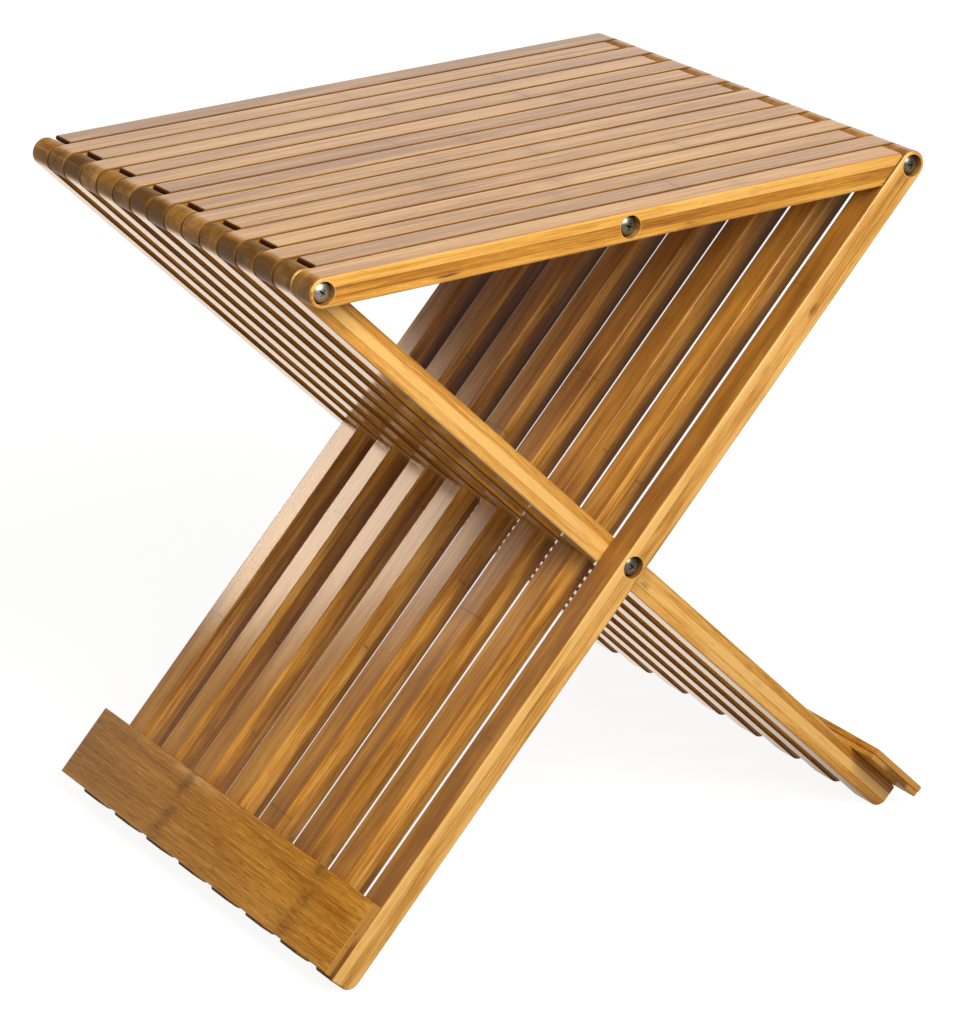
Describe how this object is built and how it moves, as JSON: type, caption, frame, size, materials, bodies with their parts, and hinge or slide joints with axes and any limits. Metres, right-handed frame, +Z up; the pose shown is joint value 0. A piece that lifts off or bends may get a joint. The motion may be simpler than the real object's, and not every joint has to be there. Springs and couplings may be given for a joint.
{
  "type": "folding stool",
  "caption": "Folding stool of interleaved bamboo slats: hinged seat slats and crossed leg slats turn on steel rods, with a board across each set of feet.",
  "frame": {"origin": "on the floor, under the middle of the seat", "axes": "+Z up, +X across the seat towards the right seat rod, +Y along the rods away from the pictured side"},
  "size_m": [0.4144, 0.3194, 0.415],
  "materials": {
    "seat_bamboo": "satin varnish",
    "leg_bamboo": "satin varnish",
    "board_bamboo": "satin varnish",
    "screw_steel": "bright",
    "rod_steel": "plain"
  },
  "bodies": {
    "left_foot_frame": {"leg_slat_01": "leg_bamboo", "leg_slat_03": "leg_bamboo", "leg_slat_05": "leg_bamboo", "leg_slat_07": "leg_bamboo", "leg_slat_09": "leg_bamboo", "leg_slat_11": "leg_bamboo", "leg_slat_13": "leg_bamboo", "leg_slat_15": "leg_bamboo", "left_foot_board": "board_bamboo", "right_seat_rod": "rod_steel", "cross_rod": "rod_steel", "right_rod_screws": "screw_steel", "cross_rod_screws": "screw_steel"},
    "right_foot_frame": {"leg_slat_02": "leg_bamboo", "leg_slat_04": "leg_bamboo", "leg_slat_06": "leg_bamboo", "leg_slat_08": "leg_bamboo", "leg_slat_10": "leg_bamboo", "leg_slat_12": "leg_bamboo", "leg_slat_14": "leg_bamboo", "leg_slat_16": "leg_bamboo", "right_foot_board": "board_bamboo", "left_seat_rod": "rod_steel", "left_rod_screws": "screw_steel"},
    "left_seat_slats": {"seat_slat_01": "seat_bamboo", "seat_slat_03": "seat_bamboo", "seat_slat_05": "seat_bamboo", "seat_slat_07": "seat_bamboo", "seat_slat_09": "seat_bamboo", "seat_slat_11": "seat_bamboo", "seat_slat_13": "seat_bamboo", "seat_slat_15": "seat_bamboo", "middle_rod_left_lengths": "rod_steel", "middle_rod_near_screw": "screw_steel"},
    "right_seat_slats": {"seat_slat_02": "seat_bamboo", "seat_slat_04": "seat_bamboo", "seat_slat_06": "seat_bamboo", "seat_slat_08": "seat_bamboo", "seat_slat_10": "seat_bamboo", "seat_slat_12": "seat_bamboo", "seat_slat_14": "seat_bamboo", "seat_slat_16": "seat_bamboo", "middle_rod_right_lengths": "rod_steel", "middle_rod_far_screw": "screw_steel"}
  },
  "joints": [
    {"name": "leg_fold", "type": "hinge", "parent": "left_foot_frame", "child": "right_foot_frame", "pos_m": [0, 0, 0.20753], "axis": [0, 1, 0], "range_deg": [0, 84.22]},
    {"name": "left_seat_hinge", "type": "hinge", "parent": "right_foot_frame", "child": "left_seat_slats", "pos_m": [-0.192, 0, 0.40653], "axis": [0, -1, 0], "range_deg": [0, 129.42]},
    {"name": "right_seat_hinge", "type": "hinge", "parent": "left_foot_frame", "child": "right_seat_slats", "pos_m": [0.192, 0, 0.40653], "axis": [0, 1, 0], "range_deg": [0, 129.42]}
  ],
  "couplings": [
    {"joint": "left_seat_hinge", "follows": "leg_fold", "ratio": 1.5368},
    {"joint": "right_seat_hinge", "follows": "leg_fold", "ratio": 1.5368}
  ]
}
